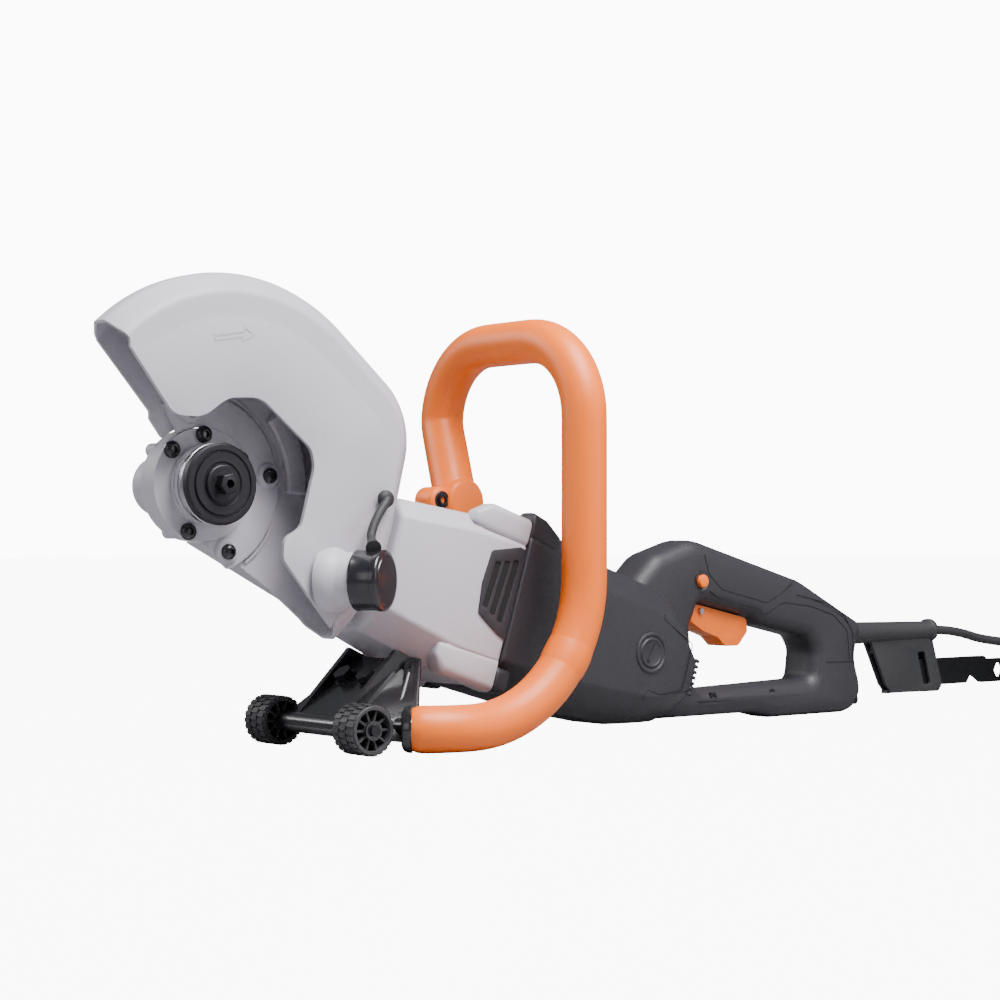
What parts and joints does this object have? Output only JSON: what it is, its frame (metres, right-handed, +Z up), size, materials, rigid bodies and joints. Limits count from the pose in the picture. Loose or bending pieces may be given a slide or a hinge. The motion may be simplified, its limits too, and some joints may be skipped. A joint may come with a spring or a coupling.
{
  "type": "wall chaser",
  "caption": "Electric hand-held cutting and chasing machine with a slotted disc guard, loop handle, D-shaped rear handle, rollers and a mains cord.",
  "frame": {"origin": "on the spindle axis, in the plane where the disc is clamped", "axes": "+X from the disc end to the cord end, -Y out of the disc side along the spindle, +Z up; the floor is 189.5 mm below the origin"},
  "size_m": [1.1626, 0.2621, 0.3335],
  "materials": {
    "cast_grey": "satin warm grey powder coat",
    "orange_plastic": "moulded, fine texture",
    "black_plastic": "moulded, spark-eroded texture",
    "gloss_black": "smooth moulded",
    "bright_steel": "machined",
    "dark_steel": "black oxide",
    "black_paint": "gloss black paint",
    "soft_rubber": "matt",
    "copper": "enamelled wire and copper",
    "brass": "pressed",
    "carbon": "graphite"
  },
  "bodies": {
    "machine": {"gear_case": "cast_grey", "gear_case_cover": "cast_grey", "cover_screws": "black_paint", "spindle_bearings": "bright_steel", "fan_housing": "cast_grey", "vent_grilles": "black_plastic", "housing_screws": "dark_steel", "motor_housing": "black_plastic", "motor_bearings": "bright_steel", "stator_core": "bright_steel", "field_coils": "copper", "brush_holders": "brass", "carbon_brushes": "carbon", "brush_springs": "bright_steel", "brush_caps": "gloss_black", "handle_shell_near": "black_plastic", "handle_shell_far": "black_plastic", "handle_screws": "dark_steel", "trigger_pin": "bright_steel", "switch_block": "black_plastic", "soft_start_module": "black_plastic", "cord_sleeve": "soft_rubber", "cord_clamp": "black_plastic", "loop_handle": "orange_plastic", "loop_core": "bright_steel", "loop_foot_screw": "dark_steel", "roller_bracket": "black_paint", "bracket_bolts": "bright_steel", "bracket_screws": "dark_steel", "roller_axle": "bright_steel", "axle_clips": "dark_steel", "cord": "soft_rubber", "cord_coil": "soft_rubber", "cord_tail": "soft_rubber", "plug": "soft_rubber", "plug_pins": "bright_steel"},
    "spindle": {"outer_flange": "dark_steel", "inner_flange": "bright_steel", "flange_washer": "dark_steel", "disc_bolt": "dark_steel", "spindle_shaft": "bright_steel", "crown_gear": "dark_steel"},
    "armature": {"armature_shaft": "bright_steel", "pinion": "dark_steel", "armature_core": "bright_steel", "armature_windings": "copper", "commutator": "copper", "cooling_fan": "black_plastic"},
    "guard": {"guard_shell": "cast_grey", "guard_collar": "cast_grey", "guard_screws": "black_paint", "dust_port": "cast_grey", "cap_strap": "soft_rubber"},
    "dust_cap": {"dust_cap": "gloss_black"},
    "spindle_lock": {"spindle_lock_button": "gloss_black"},
    "trigger": {"trigger": "orange_plastic"},
    "lock_off": {"lock_off_button": "orange_plastic"},
    "roller_near": {"roller_near": "black_plastic"},
    "roller_far": {"roller_far": "black_plastic"},
    "spanner": {"spanner": "dark_steel"}
  },
  "joints": [
    {"name": "armature_spin", "type": "hinge", "parent": "machine", "child": "armature", "pos_m": [0, 0.038, 0], "axis": [0.9521, 0, -0.3057], "continuous": true},
    {"name": "spindle_spin", "type": "hinge", "parent": "machine", "child": "spindle", "pos_m": [0, 0, 0], "axis": [0, -1, 0], "continuous": true},
    {"name": "guard_swing", "type": "hinge", "parent": "machine", "child": "guard", "pos_m": [0, 0, 0], "axis": [0, -1, 0], "range_deg": [0, 60]},
    {"name": "dust_cap_pull", "type": "slide", "parent": "guard", "child": "dust_cap", "axis": [0.5299, -0.848, 0], "range_m": [0, 0.03]},
    {"name": "spindle_lock_press", "type": "slide", "parent": "machine", "child": "spindle_lock", "axis": [0, -1, 0], "range_m": [0, 0.003], "stiffness_N_per_m": 600, "springref_m": -0.004},
    {"name": "trigger_press", "type": "hinge", "parent": "machine", "child": "trigger", "pos_m": [0.484, 0.038, -0.097], "axis": [0, -1, 0], "range_deg": [0, 8], "stiffness_Nm_per_rad": 1.5, "springref_deg": -14.32},
    {"name": "lock_off_press", "type": "slide", "parent": "machine", "child": "lock_off", "axis": [0, 1, 0], "range_m": [0, 0.003], "stiffness_N_per_m": 400, "springref_m": -0.004},
    {"name": "roller_near_spin", "type": "hinge", "parent": "machine", "child": "roller_near", "pos_m": [0.1078, -0.0184, -0.1712], "axis": [0, 1, 0], "continuous": true},
    {"name": "roller_far_spin", "type": "hinge", "parent": "machine", "child": "roller_far", "pos_m": [0.1078, 0.0944, -0.1712], "axis": [0, 1, 0], "continuous": true},
    {"name": "spanner_pull", "type": "slide", "parent": "machine", "child": "spanner", "axis": [1, 0, 0], "range_m": [0, 0.04]}
  ],
  "couplings": [
    {"joint": "spindle_spin", "follows": "armature_spin", "ratio": -0.24324}
  ]
}
